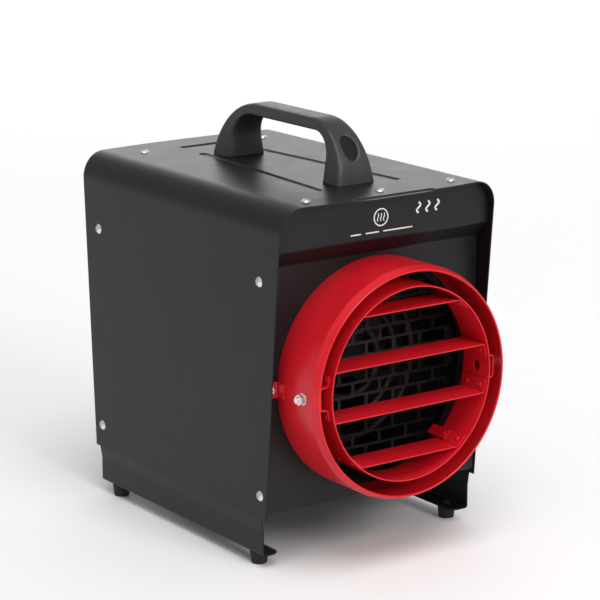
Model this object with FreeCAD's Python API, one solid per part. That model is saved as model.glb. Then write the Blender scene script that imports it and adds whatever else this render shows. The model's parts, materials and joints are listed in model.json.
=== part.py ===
import FreeCAD, Part
import math
import os

# Portable electric fan heater: folded steel case, round outlet with a tilting louvre ring,
# tubular heating rods in an air duct, axial fan and controls on the back.
# Millimetres. X runs across, the outlet faces -Y, Z is up, the feet stand on z = 0.

V = FreeCAD.Vector

# ---- case: one folded sheet makes both sides and the top
case_width = 250.0
sheet = 1.2
side_height = 336.0          # foot of the side to the top face
side_depth = 300.4           # front edge to rear edge at the crease
crease_height = 36.7         # above the foot of the side
joggle_height = 12.5
joggle_in = 2.0
corner_radius = 25.6
front_lean = 24.8            # how far the front edge comes forward at the top
rear_lean = 16.4
edge_bow = 8.5               # the top's front and rear edges bow out by this much
leg_setback = 7.0
leg_flange = 20.0
leg_corner = 9.0
fold_radius = 2.2
joggle_radius = 6.0
gap = 0.3                    # clearance between folded sheets
seat = 0.05                  # clearance where two pieces are clamped together

# ---- stiffening grooves pressed in the top, one on each side of the handle
groove_depth = 1.3
groove_half = 2.2            # half width of the floor
groove_slope = 3.0           # the walls' run
groove_front_half = 42.0     # half length across
groove_rear_half = 25.0
groove_front_in = 2.7        # middle line behind the top's bowed front edge
groove_rear_in = 41.0
groove_side_front = 45.5     # side grooves' x at their front and rear ends
groove_side_rear = 30.0
groove_side_front_in = 61.0
groove_side_rear_in = 84.0

# ---- feet
foot_height = 12.5
foot_top_radius = 9.0
foot_bottom_radius = 7.5
foot_in_x = 12.0             # from the case's outer side
foot_in_y = 20.5             # from the end of the leg

# ---- screws
screw_radius = 2.4
screw_hole_radius = 2.55
head_radius = 5.0
head_height = 2.6
washer_thickness = 1.0

# ---- front and rear panels
panel_in = 0.3               # lower panel behind the side's front edge
strip_forward = 15.5         # upper strip stands this far in front of the lower panel
strip_height = 43.0          # from the top face to the strip's lower edge
step_height = 15.5
panel_above_crease = 5.3
panel_flange = 18.0
flange_screw_in = 8.5        # panel face to its flange screws
rear_panel_in = 3.8
side_screw_low = 23.2        # above the crease
side_screw_drop = 72.3       # below the top face
top_screw_front_half = 84.0
top_screw_rear_half = 72.0
top_screw_front_in = 7.9     # behind the strip's face
top_screw_rear_in = 11.8
base_screw_x = 81.0
base_screw_in = 11.0
base_flange = 14.0

# ---- handle
handle_length = 211.0
handle_front_in = 27.4       # handle's front foot behind the lower panel's face
handle_height = 57.5
handle_half_foot = 23.0
handle_half_top = 13.5
handle_bar = 12.0
handle_front_leg = 27.0
handle_rear_leg = 31.0
handle_rear_curve = 64.0
handle_front_curve = 57.0
handle_lean = 7.0
grip_corner = 26.0
plug_half_width = 9.0
plug_half_length = 13.8
plug_depth = 3.0
plug_angle = 36.0            # its outward direction above level
handle_hole_x = 9.0
handle_hole_radius = 2.0

# ---- outlet collar and louvre ring
outlet_height = 120.5        # outlet axis above the panel's bottom edge
collar_length = 60.4         # from the side's front edge to the rim
collar_radius = 111.0
rim_draw = 3.1               # the rim is drawn in by this much
rim_taper = 8.0
rim_bend = 2.0
collar_sheet = 1.5
opening_in = 8.0             # panel opening inside the collar
ring_room = 15.1             # between the rim and the louvre ring
ring_sheet = 1.3
ring_depth = 37.5
ring_in = 1.1                # ring's front edge behind the collar's rim
blade_share = 0.5113         # distance between two blades, a share of the ring's radius
blade_chord = 33.0
blade_in = 2.5
blade_sheet = 1.2
blade_tab = 11.0
blade_clear = 0.3
rivet_radius = 2.5
rivet_head = 1.3
rivet_shank = 0.62           # shares of the head's radius
rivet_tail = 0.9
rivet_tail_height = 0.8
pivot_radius = 3.0
pivot_clear = 0.06
ring_hole_radius = 4.8
clip_rivet_in = 6.3          # clip's side to its rivets
clip_depth = 26.0
clip_stand = 7.3
clip_foot = 10.0
clip_sheet = 1.5
stop_width = 10.5            # strap behind the lowest blade that limits the tilt
stop_back = 11.2             # beyond the ring's rear edge
stop_sheet = 1.4
bracket_width = 15.0
bracket_leg = 12.0           # along the collar
bracket_reach = 11.0         # along the panel
bracket_sheet = 1.5
bracket_rivet_out = 6.8
bracket_screw_out = 6.6
nut_across = 9.0
nut_height = 4.6
washer_radius = 5.6

# ---- stamped guards
guard_back = 10.0            # outlet guard behind the front panel
guard_out = 1.0              # outlet guard's half width beyond the collar's radius
spacer_radius = 4.5
spacer_in = 8.0              # from the outlet guard's edges
slot_pitch_x = 32.0
slot_pitch_z = 12.7
slot_length = 28.6
slot_height = 10.1
slot_corner = 2.2
guard_rows = 16
guard_sheet = 1.0
guard_rim = 6.0

# ---- duct, heating rods, fan
duct_in = 5.0                # duct inside the collar's radius
duct_sheet = 1.0
duct_length = 142.0
duct_flange = 10.0
rod_radius = 4.0
rod_shares = (0.34, 0.538, 0.736)   # radii of the rod circles, shares of the duct's
rod_back = 31.0              # rod circles behind the guard
rod_bend = 6.0
rod_leg = 24.0
rod_end_x = 9.0              # half the distance between a rod's two legs
rod_turn = 90.0              # the legs are at this angle from the lowest point, clockwise
bushing_radius = 7.0
bushing_length = 13.0
strip_width = 40.0
strip_sheet = 1.5
strip_back = 10.5            # behind the rod circles
fan_tip_gap = 5.0
fan_hub_radius = 27.0
fan_depth = 34.0
fan_blades = 5
fan_pitch = 34.0
fan_back = 96.0              # fan's front behind the guard
shaft_radius = 4.0
shaft_clear = 0.05
motor_radius = 36.0
motor_length = 62.0
motor_bolt_circle = 26.0
arm_width = 22.0
arm_sheet = 2.0

# ---- controls on the rear panel
control_drop = 34.0          # below the top face
knob_radius = 17.0
knob_depth = 13.0
knob_offset = 52.0
spindle_radius = 3.0
button_radius = 6.0
button_stand = 4.0
button_x = 15.0
lamp_radius = 5.0
gland_radius = 10.0
gland_x = 82.0
gland_rise = 24.0
gland_thread = 7.0

# ---- places worked out from the sizes above
overall_depth = collar_length + side_depth + rear_lean + edge_bow
front_y = -overall_depth / 2 + collar_length
rear_y = front_y + side_depth
rim_y = front_y - collar_length
leg_z = foot_height
top_z = leg_z + side_height
crease_z = leg_z + crease_height
panel_y = front_y + panel_in
strip_y = panel_y - strip_forward
back_y = rear_y - rear_panel_in
panel_z = crease_z + panel_above_crease
strip_z = top_z - strip_height
step_z = strip_z - step_height
axis_z = panel_z + outlet_height
half_in = case_width / 2 - sheet
panel_half = half_in - gap
under_z = top_z - sheet - gap
top_front_y = front_y - front_lean - edge_bow
top_rear_y = rear_y + rear_lean + edge_bow
rim_radius = collar_radius - rim_draw
opening_radius = collar_radius - opening_in
ring_radius = rim_radius - ring_room
blade_offsets = [blade_share * ring_radius * step for step in (1.5, 0.5, -0.5, -1.5)]
middle_blades = blade_offsets[1:3]
duct_radius = collar_radius - duct_in
fan_radius = duct_radius - fan_tip_gap
guard_half = collar_radius + guard_out
rod_circles = [duct_radius * share for share in rod_shares]
ring_y = rim_y + ring_in
pivot_y = ring_y + ring_depth / 2
guard_y = panel_y + sheet + guard_back
rods_y = guard_y + rod_back
fan_y = guard_y + fan_back
duct_end_y = guard_y + guard_sheet + duct_length
control_z = top_z - control_drop
side_screw_ys = (panel_y + flange_screw_in, back_y - flange_screw_in)
side_screw_zs = (crease_z + side_screw_low, top_z - side_screw_drop)
top_screws = [(x, strip_y + top_screw_front_in) for x in (-top_screw_front_half, 0, top_screw_front_half)]
top_screws += [(x, back_y - top_screw_rear_in) for x in (-top_screw_rear_half, top_screw_rear_half)]
foot_x = case_width / 2 - foot_in_x
foot_ys = (front_y + leg_setback + foot_in_y, rear_y - leg_setback - foot_in_y)
handle_y = panel_y + handle_front_in
handle_rear_y = handle_y + handle_length
handle_top_z = top_z + handle_height
handle_hole_ys = (handle_y + handle_front_leg / 2, handle_rear_y - handle_rear_leg / 2)
bracket_x = collar_radius + gap + bracket_screw_out
base_screw_ys = (panel_y + base_screw_in, back_y - base_screw_in)
motor_front = duct_end_y + arm_sheet + seat


# ---- small helpers
def box(x0, x1, y0, y1, z0, z1):
    return Part.makeBox(x1 - x0, y1 - y0, z1 - z0, V(x0, y0, z0))


def rod(radius, start, axis, length):
    return Part.makeCylinder(radius, length, V(*start), V(*axis))


def tube(outer, inner, start, axis, length):
    return rod(outer, start, axis, length).cut(rod(inner, start, axis, length))


def fuse(shapes):
    whole = shapes[0].multiFuse(shapes[1:]) if len(shapes) > 1 else shapes[0]
    return whole.removeSplitter()


def cut_all(shape, tools):
    return shape.cut(Part.makeCompound(tools)) if tools else shape


def mirrored_x(shape):
    return shape.mirror(V(0, 0, 0), V(1, 0, 0))


def rounded_edges(points, radii, closed=False):
    # straight runs joined by tangent arcs; radii[i] is the arc at points[i], 0 for a sharp corner
    count = len(points)
    starts = list(points)
    ends = list(points)
    edges = []
    for i in range(count):
        if radii[i] <= 0 or (not closed and i in (0, count - 1)):
            continue
        here = points[i]
        to_last = (points[i - 1] - here).normalize()
        to_next = (points[(i + 1) % count] - here).normalize()
        half = to_last.getAngle(to_next) / 2
        reach = radii[i] / math.tan(half)
        starts[i] = here + to_last * reach
        ends[i] = here + to_next * reach
        middle = (to_last + to_next).normalize()
        crown = here + middle * (radii[i] / math.sin(half) - radii[i])
        edges.append((i, Part.Arc(starts[i], crown, ends[i]).toShape()))
    for i in range(count if closed else count - 1):
        after = (i + 1) % count
        if ends[i].distanceToPoint(starts[after]) > 1e-6:
            edges.append((i + 0.5, Part.makeLine(ends[i], starts[after])))
    return [edge for _, edge in sorted(edges, key=lambda pair: pair[0])]


def prism(points, radii, direction):
    # closed outline with rounded corners, extruded
    return Part.Face(Part.Wire(rounded_edges(points, radii, True))).extrude(V(*direction))


def offset_path(points, distance, normal):
    # the path moved sideways by distance, corners mitred
    moved = []
    last = len(points) - 1
    for i in range(last + 1):
        sides = []
        if i > 0:
            sides.append(normal.cross((points[i] - points[i - 1]).normalize()))
        if i < last:
            sides.append(normal.cross((points[i + 1] - points[i]).normalize()))
        middle = sides[0] if len(sides) == 1 else (sides[0] + sides[1]).normalize()
        moved.append(points[i] + middle * (distance / middle.dot(sides[0])))
    return moved


def bent_sheet(points, radii, thickness, normal, direction):
    # a sheet folded along a path: points are on its middle line, radii are the middle line's bends
    near = offset_path(points, thickness / 2, normal)
    far = offset_path(points, -thickness / 2, normal)
    near_radii = list(radii)
    far_radii = list(radii)
    for i in range(1, len(points) - 1):
        turn = (points[i] - points[i - 1]).cross(points[i + 1] - points[i]).dot(normal)
        change = thickness / 2 if turn > 0 else -thickness / 2
        near_radii[i] = radii[i] - change
        far_radii[i] = radii[i] + change
    edges = rounded_edges(near, near_radii) + [Part.makeLine(near[-1], far[-1])]
    edges += rounded_edges(far, far_radii)[::-1] + [Part.makeLine(far[0], near[0])]
    return Part.Face(Part.Wire(Part.__sortEdges__(edges))).extrude(V(*direction))


def placed(shape, place, out):
    # a shape made about Z, moved to place with its Z turned to out
    shape.Placement = FreeCAD.Placement(V(*place), FreeCAD.Rotation(V(0, 0, 1), V(*out)))
    return shape


def domed_pin(head, height, steps):
    # round-headed pin about Z: dome above z = 0, then cylinders down, steps are (radius, length)
    dome_radius = (head * head + height * height) / (2 * height)
    half = math.asin(head / dome_radius) / 2
    crown = V(dome_radius * math.sin(half), 0, height - dome_radius + dome_radius * math.cos(half))
    points = [V(head, 0, 0)]
    z = 0.0
    for radius, length in steps:
        points += [V(radius, 0, z), V(radius, 0, z - length)]
        z -= length
    points += [V(0, 0, z), V(0, 0, height)]
    edges = [Part.Arc(V(0, 0, height), crown, points[0]).toShape()]
    edges += [Part.makeLine(a, b) for a, b in zip(points, points[1:]) if a.distanceToPoint(b) > 1e-6]
    return Part.Face(Part.Wire(edges)).revolve(V(0, 0, 0), V(0, 0, 1), 360)


def pan_screw(place, axis, length, radius=screw_radius, head=head_radius, height=head_height):
    # head against the surface at place, shank going in along axis, cross recess in the head
    screw = domed_pin(head, height, [(radius, length)])
    arm = Part.makeBox(head, head * 0.22, height, V(-head / 2, -head * 0.11, height * 0.55))
    cross = arm.fuse(turned_z(arm, 90))
    return placed(screw.cut(cross), place, V(*axis) * -1)


def turned_z(shape, angle):
    copy = shape.copy()
    copy.rotate(V(0, 0, 0), V(0, 0, 1), angle)
    return copy


def hex_nut(place, axis, height, across, hole):
    turn = FreeCAD.Rotation(V(0, 0, 1), V(*axis))
    corners = [V(math.cos(a), math.sin(a), 0) * (across / math.sqrt(3)) for a in
               [math.radians(60 * i) for i in range(6)]]
    blank = Part.Face(Part.makePolygon(corners + [corners[0]])).extrude(V(0, 0, height))
    blank = blank.common(Part.makeCone(across * 0.5 + height * 1.4, across * 0.5, height * 1.4 + 0.6,
                                       V(0, 0, -0.6 - height * 0.4 + 0.6)))
    nut = blank.cut(Part.makeCylinder(hole, height, V(0, 0, 0)))
    nut.Placement = FreeCAD.Placement(V(*place), turn)
    return nut


def save(name, shapes):
    solids = []
    for shape in shapes if isinstance(shapes, list) else [shapes]:
        solids += shape.Solids
    whole = solids[0] if len(solids) == 1 else Part.makeCompound(solids)
    whole.exportStep("parts/%s.step" % name)
    print("%-22s %3d solids %10.1f mm3" % (name, len(solids), sum(s.Volume for s in solids)))


# ---- case
def case_envelope():
    # what the leaning, bowed front and rear edges leave of the folded sheet, above the crease
    def outline(z, y_front, y_rear):
        half = case_width / 2 + 1
        a = V(-half, y_front, z)
        b = V(half, y_front, z)
        c = V(half, y_rear, z)
        d = V(-half, y_rear, z)
        front = Part.Arc(a, V(0, y_front - edge_bow, z), b).toShape()
        rear = Part.Arc(c, V(0, y_rear + edge_bow, z), d).toShape()
        return Part.Wire([front, Part.makeLine(b, c), rear, Part.makeLine(d, a)])
    low = outline(crease_z, front_y, rear_y)
    high = outline(top_z + 1, front_y - front_lean, rear_y + rear_lean)
    return Part.makeLoft([low, high], True, True)


def top_grooves():
    # (start, end) of each groove's middle line, seen from above
    front = top_front_y + groove_front_in
    rear = top_rear_y - groove_rear_in
    lines = [((-groove_front_half, front), (groove_front_half, front)),
             ((-groove_rear_half, rear), (groove_rear_half, rear))]
    for s in (-1, 1):
        lines.append(((s * groove_side_front, top_front_y + groove_side_front_in),
                      (s * groove_side_rear, top_rear_y - groove_side_rear_in)))
    return lines


def groove_prism(line, z, half, growth, height):
    # bar with rounded ends along a line, widening upwards
    start, end = [V(x, y, 0) for x, y in line]
    along = (end - start).normalize()
    across = V(-along.y, along.x, 0)
    wires = []
    for level, wide in ((z, half), (z + height, half + growth)):
        corners = [start - along * wide - across * wide, end + along * wide - across * wide,
                   end + along * wide + across * wide, start - along * wide + across * wide]
        points = [V(c.x, c.y, level) for c in corners]
        wires.append(Part.Wire(rounded_edges(points, [wide * 0.96] * 4, True)))
    return Part.makeLoft(wires, True, True)


def outer_cover():
    mid = sheet / 2
    up_x = case_width / 2 - mid
    low_x = up_x - joggle_in
    foot = leg_z + mid
    half_path = [V(low_x - leg_flange + mid, 0, foot), V(low_x, 0, foot), V(low_x, 0, crease_z - joggle_height),
                 V(up_x, 0, crease_z), V(up_x, 0, top_z - mid)]
    radii = [0, fold_radius, joggle_radius, joggle_radius, corner_radius - mid]
    path = half_path + [V(-p.x, 0, p.z) for p in half_path[::-1]]
    y0 = front_y - front_lean - 2 * edge_bow
    y1 = rear_y + rear_lean + 2 * edge_bow
    fold = bent_sheet(path, radii + radii[::-1], sheet, V(0, 1, 0), (0, y1 - y0, 0))
    fold.translate(V(0, y0, 0))
    upper = fold.common(case_envelope())
    legs = fold.common(box(-case_width, case_width, front_y + leg_setback, rear_y - leg_setback,
                           leg_z - 1, crease_z))
    cover = fuse([upper, legs])
    floor_z = top_z - groove_depth
    half = sheet / 2
    ribs = [groove_prism(line, floor_z - sheet, groove_half + half, groove_slope, groove_depth + half)
            for line in top_grooves()]
    cover = fuse([cover] + [rib.common(case_envelope()) for rib in ribs])
    tools = [groove_prism(line, floor_z, groove_half, groove_slope, groove_depth + 0.01)
             for line in top_grooves()]
    for s in (-1, 1):
        for y in side_screw_ys:
            for z in side_screw_zs:
                tools.append(rod(screw_hole_radius, (s * (case_width / 2 + 1), y, z), (-s, 0, 0), 3))
        for y in foot_ys:
            tools.append(rod(screw_hole_radius, (s * foot_x, y, leg_z - 1), (0, 0, 1), 4))
        for y in handle_hole_ys:
            tools.append(rod(screw_hole_radius, (s * handle_hole_x, y, top_z - 3), (0, 0, 1), 6))
        for end, step in ((front_y + leg_setback, 1), (rear_y - leg_setback, -1)):
            tools.append(flange_corner(s, end, step))
    for x, y in top_screws:
        tools.append(rod(screw_hole_radius, (x, y, top_z - 8), (0, 0, 1), 10))
    return cut_all(cover, tools)


def flange_corner(s, end, step):
    # what the rounded inner corner of a leg's flange leaves out
    x = s * (case_width / 2 - sheet / 2 - joggle_in - leg_flange + sheet / 2)
    r = leg_corner
    corner = box(min(x, x + s * r), max(x, x + s * r), min(end, end + step * r), max(end, end + step * r),
                 leg_z - 1, leg_z + 3)
    return corner.cut(rod(r, (x + s * r, end + step * r, leg_z - 1), (0, 0, 1), 4))


def cover_outline(y0, y1, z0, inset):
    # the space inside the cover's two sides and top, with its rounded upper corners
    half = half_in - inset
    high = top_z - sheet - inset
    r = corner_radius - sheet - inset
    points = [V(-half, y0, z0), V(half, y0, z0), V(half, y0, high), V(-half, y0, high)]
    return prism(points, [0, 0, r, r], (0, y1 - y0, 0))


def top_tab(x, half_width, y0, y1, z):
    return box(x - half_width, x + half_width, y0, y1, z - sheet, z)


def front_panel():
    mid = sheet / 2
    path = [V(0, panel_y + panel_flange, panel_z + mid), V(0, panel_y + mid, panel_z + mid),
            V(0, panel_y + mid, step_z), V(0, strip_y + mid, strip_z), V(0, strip_y + mid, under_z)]
    fold = bent_sheet(path, [0, fold_radius, 3.0, 3.0, 0], sheet, V(1, 0, 0), (2 * panel_half, 0, 0))
    fold.translate(V(-panel_half, 0, 0))
    fold = fold.common(cover_outline(strip_y - 5, panel_y + 60, panel_z - 1, gap))
    side_top = top_z - corner_radius - 2
    side = prism([V(0, panel_y + mid, panel_z + 4), V(0, panel_y + panel_flange, panel_z + 4),
                  V(0, panel_y + panel_flange, side_top), V(0, strip_y + mid, side_top),
                  V(0, strip_y + mid, strip_z), V(0, panel_y + mid, step_z)], [0] * 6, (sheet, 0, 0))
    pieces = [fold]
    for s in (-1, 1):
        flange = side.copy()
        flange.translate(V(panel_half - sheet if s > 0 else -panel_half, 0, 0))
        pieces.append(flange)
        pieces.append(top_tab(s * top_screw_front_half, 13, strip_y + 0.5, strip_y + panel_flange, under_z))
    pieces.append(top_tab(0, 16, strip_y + 0.5, strip_y + panel_flange, under_z))
    panel = fuse(pieces)
    tools = [rod(opening_radius, (0, panel_y - 1, axis_z), (0, 1, 0), 4)]
    for s in (-1, 1):
        for z in side_screw_zs:
            tools.append(rod(screw_hole_radius, (s * (half_in + 1), side_screw_ys[0], z), (-s, 0, 0), 4))
        tools.append(rod(screw_hole_radius, (s * bracket_x, panel_y - 1, axis_z), (0, 1, 0), 4))
        tools.append(rod(screw_hole_radius, (s * base_screw_x, base_screw_ys[0], panel_z - 1), (0, 0, 1), 4))
    for x, y in top_screws[:3]:
        tools.append(rod(screw_hole_radius, (x, y, top_z - 10), (0, 0, 1), 12))
    return cut_all(panel, tools)


def rear_panel():
    mid = sheet / 2
    path = [V(0, back_y - panel_flange, panel_z + mid), V(0, back_y - mid, panel_z + mid),
            V(0, back_y - mid, under_z)]
    fold = bent_sheet(path, [0, fold_radius, 0], sheet, V(-1, 0, 0), (2 * panel_half, 0, 0))
    fold.translate(V(-panel_half, 0, 0))
    fold = fold.common(cover_outline(back_y - 60, back_y + 5, panel_z - 1, gap))
    pieces = [fold]
    side_top = top_z - corner_radius - 2
    for s in (-1, 1):
        x0 = panel_half - sheet if s > 0 else -panel_half
        pieces.append(box(x0, x0 + sheet, back_y - panel_flange, back_y - mid, panel_z + 4, side_top))
        pieces.append(top_tab(s * top_screw_rear_half, 13, back_y - panel_flange, back_y - 0.5, under_z))
    panel = fuse(pieces)
    tools = [rod(opening_radius, (0, back_y - 3, axis_z), (0, 1, 0), 6)]
    for s in (-1, 1):
        for z in side_screw_zs:
            tools.append(rod(screw_hole_radius, (s * (half_in + 1), side_screw_ys[1], z), (-s, 0, 0), 4))
        tools.append(rod(spindle_radius + 1.5, (s * knob_offset, back_y - 3, control_z), (0, 1, 0), 6))
        tools.append(rod(screw_hole_radius, (s * base_screw_x, base_screw_ys[1], panel_z - 1), (0, 0, 1), 4))
    tools.append(rod(button_radius + gap, (-button_x, back_y - 3, control_z), (0, 1, 0), 6))
    tools.append(rod(lamp_radius, (button_x, back_y - 3, control_z), (0, 1, 0), 6))
    tools.append(rod(gland_thread, (gland_x, back_y - 3, panel_z + gland_rise), (0, 1, 0), 6))
    for x, y in top_screws[3:]:
        tools.append(rod(screw_hole_radius, (x, y, top_z - 10), (0, 0, 1), 12))
    return cut_all(panel, tools)


def base_panel():
    # tray between the panels: lies on their lower flanges, its sides turned up
    z0 = panel_z + sheet
    half = panel_half - sheet - gap
    y0 = panel_y + sheet + fold_radius
    y1 = back_y - sheet - fold_radius
    path = [V(-half + sheet / 2, y0, z0 + base_flange), V(-half + sheet / 2, y0, z0 + sheet / 2),
            V(half - sheet / 2, y0, z0 + sheet / 2), V(half - sheet / 2, y0, z0 + base_flange)]
    tray = bent_sheet(path, [0, fold_radius, fold_radius, 0], sheet, V(0, 1, 0), (0, y1 - y0, 0))
    tools = []
    for x in (-base_screw_x, base_screw_x):
        for y in base_screw_ys:
            tools.append(rod(screw_hole_radius, (x, y, z0 - 1), (0, 0, 1), 4))
    return cut_all(tray, tools)


# ---- handle
def handle_outline():
    # side view of the arch; the rear shoulder is rounder than the front one
    foot = top_z
    top = handle_top_z
    y0, y1 = handle_y, handle_rear_y
    lean = handle_lean
    outer = [V(0, y0, foot), V(0, y0 + lean, top), V(0, y1 - lean, top), V(0, y1, foot)]
    inner = [V(0, y1 - handle_rear_leg, foot), V(0, y1 - handle_rear_leg - 1, top - handle_bar),
             V(0, y0 + handle_front_leg + 1, top - handle_bar), V(0, y0 + handle_front_leg, foot)]
    radii = [0, handle_front_curve, handle_rear_curve, 0, 0, grip_corner, grip_corner * 0.8, 0]
    return outer + inner, radii


def handle_plug_place(front=True):
    # middle of an oval plug, on the shoulder's outer face, and the face's outward direction
    angle = math.radians(plug_angle)
    sign = -1 if front else 1
    out = V(0, sign * math.cos(angle), math.sin(angle))
    radius = handle_front_curve if front else handle_rear_curve
    side = math.hypot(handle_height, handle_lean)
    inward = (radius * side + (handle_height - radius) * handle_lean) / handle_height
    centre_y = handle_y + inward if front else handle_rear_y - inward
    centre = V(0, centre_y, handle_top_z - radius)
    return centre + out * radius, out


def plug_prism(place, out, grow, depth):
    turn = FreeCAD.Rotation(V(0, 0, 1), out)
    oval = Part.Ellipse(V(0, 0, 0), plug_half_length + grow, plug_half_width + grow).toShape()
    solid = Part.Face(Part.Wire(oval)).extrude(V(0, 0, -depth - 6))
    solid.translate(V(0, 0, 6))
    solid.rotate(V(0, 0, 0), V(0, 0, 1), 90)
    fix = FreeCAD.Placement(place, turn)
    solid.Placement = fix.multiply(solid.Placement)
    return solid


def handle_blank():
    points, radii = handle_outline()
    arch = prism(points, radii, (2 * handle_half_foot, 0, 0))
    arch.translate(V(-handle_half_foot, 0, 0))
    foot = top_z
    top = handle_top_z
    wide = handle_half_foot
    waist = handle_half_top + 3.5
    edge = [V(-wide, 0, foot - 1), V(wide, 0, foot - 1), V(wide, 0, foot), V(waist, 0, top - 22),
            V(handle_half_top, 0, top), V(-handle_half_top, 0, top), V(-waist, 0, top - 22), V(-wide, 0, foot)]
    front_view = prism(edge, [0, 0, 0, 30, 5, 5, 30, 0], (0, handle_length + 20, 0))
    front_view.translate(V(0, handle_y - 10, 0))
    return arch.common(front_view)


def handle():
    blank = handle_blank()
    tools = []
    for front in (True, False):
        place, out = handle_plug_place(front)
        tools.append(plug_prism(place, out, 0.15, plug_depth))
    for s in (-1, 1):
        for y in handle_hole_ys:
            tools.append(rod(handle_hole_radius, (s * handle_hole_x, y, top_z - 1), (0, 0, 1), 15))
    return cut_all(blank, tools)


def handle_plugs():
    plugs = []
    blank = handle_blank()
    for front in (True, False):
        place, out = handle_plug_place(front)
        inner = blank.copy()
        inner.translate(out * -1.2)
        plugs.append(plug_prism(place, out, 0.0, plug_depth - 0.1).common(inner))
    return plugs


def handle_screws():
    return [pan_screw((s * handle_hole_x, y, top_z - sheet), (0, 0, 1), 13, handle_hole_radius - 0.1, 4.2, 2.2)
            for s in (-1, 1) for y in handle_hole_ys]


# ---- feet and case screws
def rubber_feet():
    feet = []
    for s in (-1, 1):
        for y in foot_ys:
            body = Part.makeCone(foot_bottom_radius, foot_top_radius, foot_height, V(s * foot_x, y, 0))
            body = body.makeFillet(1.0, [body.Edges[i] for i in range(len(body.Edges))
                                         if body.Edges[i].BoundBox.ZMax < 0.1])
            body = body.cut(rod(4.6, (s * foot_x, y, 0), (0, 0, 1), 4.5))
            feet.append(body.cut(rod(screw_hole_radius, (s * foot_x, y, 0), (0, 0, 1), foot_height + 1)))
    return feet


def foot_screws():
    screws = []
    for s in (-1, 1):
        for y in foot_ys:
            shank = rod(2.0, (s * foot_x, y, 2.5), (0, 0, 1), foot_height + sheet + 3.4 - 2.5)
            head = rod(4.0, (s * foot_x, y, 1.9), (0, 0, 1), 2.6)
            nut = hex_nut((s * foot_x, y, leg_z + sheet), (0, 0, 1), 3.0, 7.0, 1.9)
            screws.append(fuse([shank, head, nut]))
    return screws


def cover_side_screws():
    return [pan_screw((s * case_width / 2, y, z), (-s, 0, 0), 9)
            for s in (-1, 1) for y in side_screw_ys for z in side_screw_zs]


def cover_top_screws():
    return [pan_screw((x, y, top_z), (0, 0, -1), 9) for x, y in top_screws]


def base_screws():
    return [pan_screw((x, y, panel_z), (0, 0, 1), 7, 1.9, 3.8, 2.0)
            for x in (-base_screw_x, base_screw_x) for y in base_screw_ys]


# ---- outlet collar
def collar_wall():
    # half section, turned about the outlet axis: straight wall, tapered lip, rolled front edge
    t = collar_sheet
    base = panel_y - 0.05
    lip_y = rim_y + rim_taper
    path = [V(collar_radius - t / 2, base, 0), V(collar_radius - t / 2, lip_y, 0),
            V(rim_radius - t / 2, rim_y + t / 2, 0)]
    wall = bent_section(path, [0, rim_bend, 0], t)
    bead = Part.Face(Part.Wire(Part.makeCircle(t / 2 + 0.35, V(rim_radius - t / 2, rim_y + t / 2 + 0.35, 0))))
    wall_solid = wall.revolve(V(0, 0, 0), V(0, 1, 0), 360)
    bead_solid = bead.revolve(V(0, 0, 0), V(0, 1, 0), 360)
    ring = fuse([wall_solid, bead_solid])
    ring.translate(V(0, 0, axis_z))
    return ring


def bent_section(points, radii, thickness):
    normal = V(0, 0, 1)
    near = offset_path(points, thickness / 2, normal)
    far = offset_path(points, -thickness / 2, normal)
    edges = rounded_edges(near, radii) + [Part.makeLine(near[-1], far[-1])]
    edges += rounded_edges(far, radii)[::-1] + [Part.makeLine(far[0], near[0])]
    return Part.Face(Part.Wire(Part.__sortEdges__(edges)))


def outlet_collar():
    ring = collar_wall()
    tools = []
    for s in (-1, 1):
        tools.append(rod(pivot_radius + gap, (s * (collar_radius - 8), pivot_y, axis_z), (s, 0, 0), 12))
        tools.append(rod(rivet_radius * 0.7, (s * (collar_radius - 8), panel_y - bracket_rivet_out, axis_z),
                         (s, 0, 0), 12))
    return cut_all(ring, tools)


def collar_brackets():
    brackets = []
    for s in (-1, 1):
        x0 = collar_radius + gap
        t = bracket_sheet
        path = [V(x0 + t / 2, panel_y - bracket_leg, 0), V(x0 + t / 2, panel_y - gap - t / 2, 0),
                V(x0 + bracket_reach, panel_y - gap - t / 2, 0)]
        plate = bent_sheet(path, [0, 1.6, 0], t, V(0, 0, 1), (0, 0, bracket_width))
        plate.translate(V(0, 0, axis_z - bracket_width / 2))
        plate = plate.cut(rod(screw_hole_radius, (bracket_x, panel_y - 4, axis_z), (0, 1, 0), 6))
        plate = plate.cut(rod(rivet_radius * 0.7, (x0 - 1, panel_y - bracket_rivet_out, axis_z), (1, 0, 0), 6))
        brackets.append(plate if s > 0 else mirrored_x(plate))
    return brackets


def rivet(place, axis, grip, radius=rivet_radius):
    # round head on the near side at place, shank through the grip, flat head beyond it
    steps = [(radius * rivet_shank, grip), (radius * rivet_tail, rivet_tail_height)]
    return placed(domed_pin(radius, rivet_head, steps), place, V(*axis) * -1)


def collar_rivets():
    grip = bracket_sheet + gap + collar_sheet + sagitta(rivet_radius, collar_radius - collar_sheet)
    return [rivet((s * (collar_radius + gap + bracket_sheet), panel_y - bracket_rivet_out, axis_z), (-s, 0, 0),
                  grip + 0.05) for s in (-1, 1)]


def sagitta(half_chord, radius):
    return radius - math.sqrt(radius * radius - half_chord * half_chord)


def bracket_screws():
    return [pan_screw((s * bracket_x, panel_y - gap - bracket_sheet, axis_z), (0, 1, 0), 8, 2.2, 4.4, 3.0)
            for s in (-1, 1)]


# ---- louvre ring: tilts about the two pivot bolts
def ring_blank():
    return tube(ring_radius, ring_radius - ring_sheet, (0, ring_y, axis_z), (0, 1, 0), ring_depth)


def blade_half(offset):
    inner = ring_radius - ring_sheet - blade_clear
    edge = abs(offset) + blade_sheet / 2
    return math.sqrt(inner * inner - edge * edge)


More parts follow.
